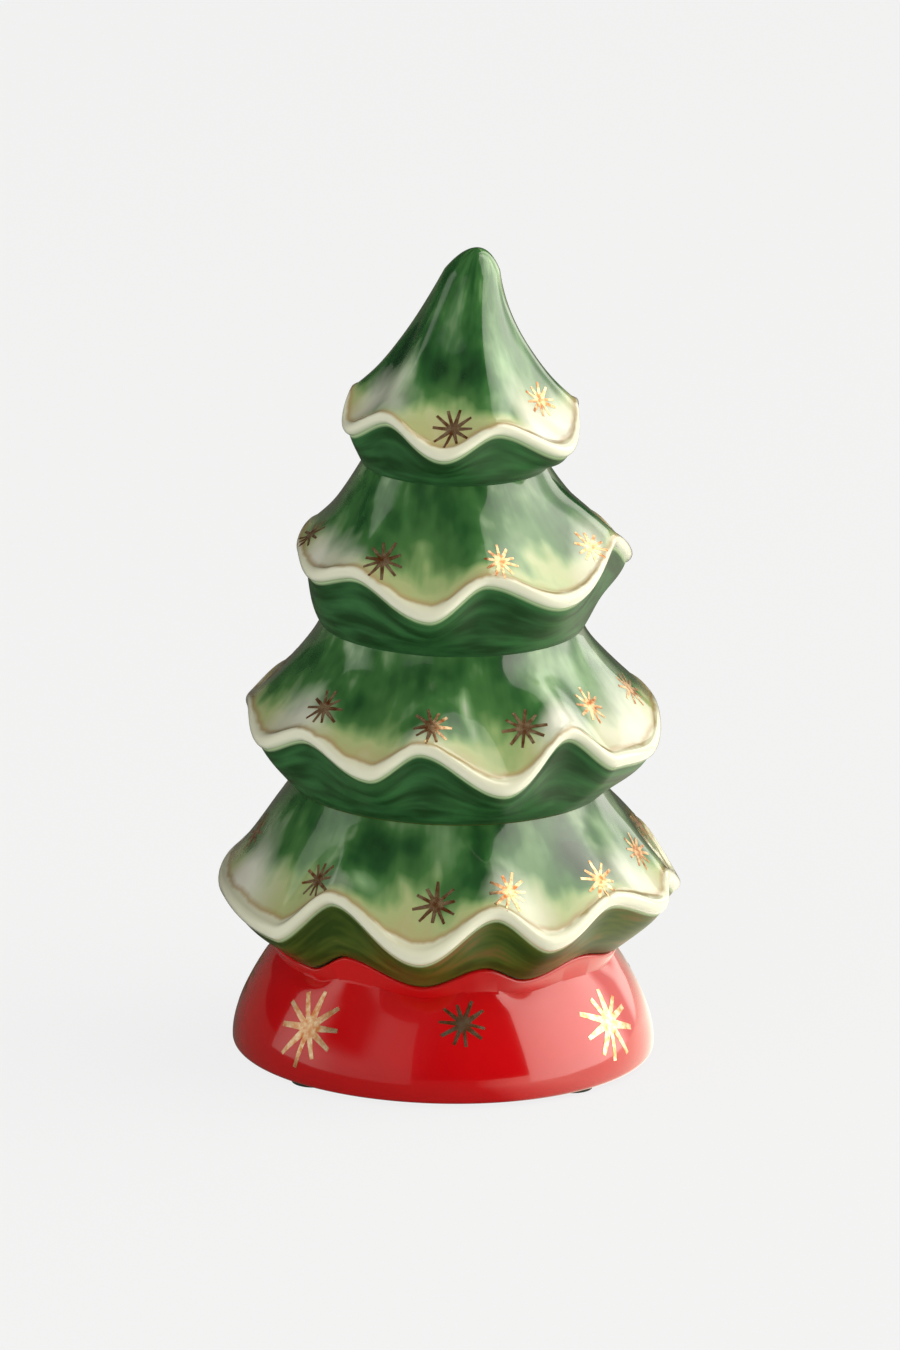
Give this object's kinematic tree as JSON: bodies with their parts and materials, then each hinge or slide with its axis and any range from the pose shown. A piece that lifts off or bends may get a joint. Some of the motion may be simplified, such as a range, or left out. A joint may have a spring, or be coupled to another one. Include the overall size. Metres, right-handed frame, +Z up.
{
  "type": "christmas tree figurine",
  "caption": "Small glazed ceramic Christmas tree with scalloped tiers, hollow inside, that lifts off a round flared plinth standing on felt pads.",
  "frame": {"origin": "middle of the surface the figurine stands on, on the plinth's own axis", "axes": "+Z up towards the tip, -Y towards the front that the picture shows, +X to the viewer's right"},
  "size_m": [0.0846, 0.0856, 0.152],
  "materials": {
    "green_glaze": "gloss glaze, brushed green with white hems and gold stars",
    "red_glaze": "gloss red glaze with gold stars",
    "felt": "pressed felt"
  },
  "bodies": {
    "plinth": {"plinth_casting": "red_glaze", "foot_pad_1": "felt", "foot_pad_2": "felt", "foot_pad_3": "felt", "foot_pad_4": "felt"},
    "tree": {"tree_casting": "green_glaze"}
  },
  "joints": [
    {"name": "tree_lift", "type": "slide", "parent": "plinth", "child": "tree", "axis": [0, 0, 1], "range_m": [0, 0.04]}
  ]
}
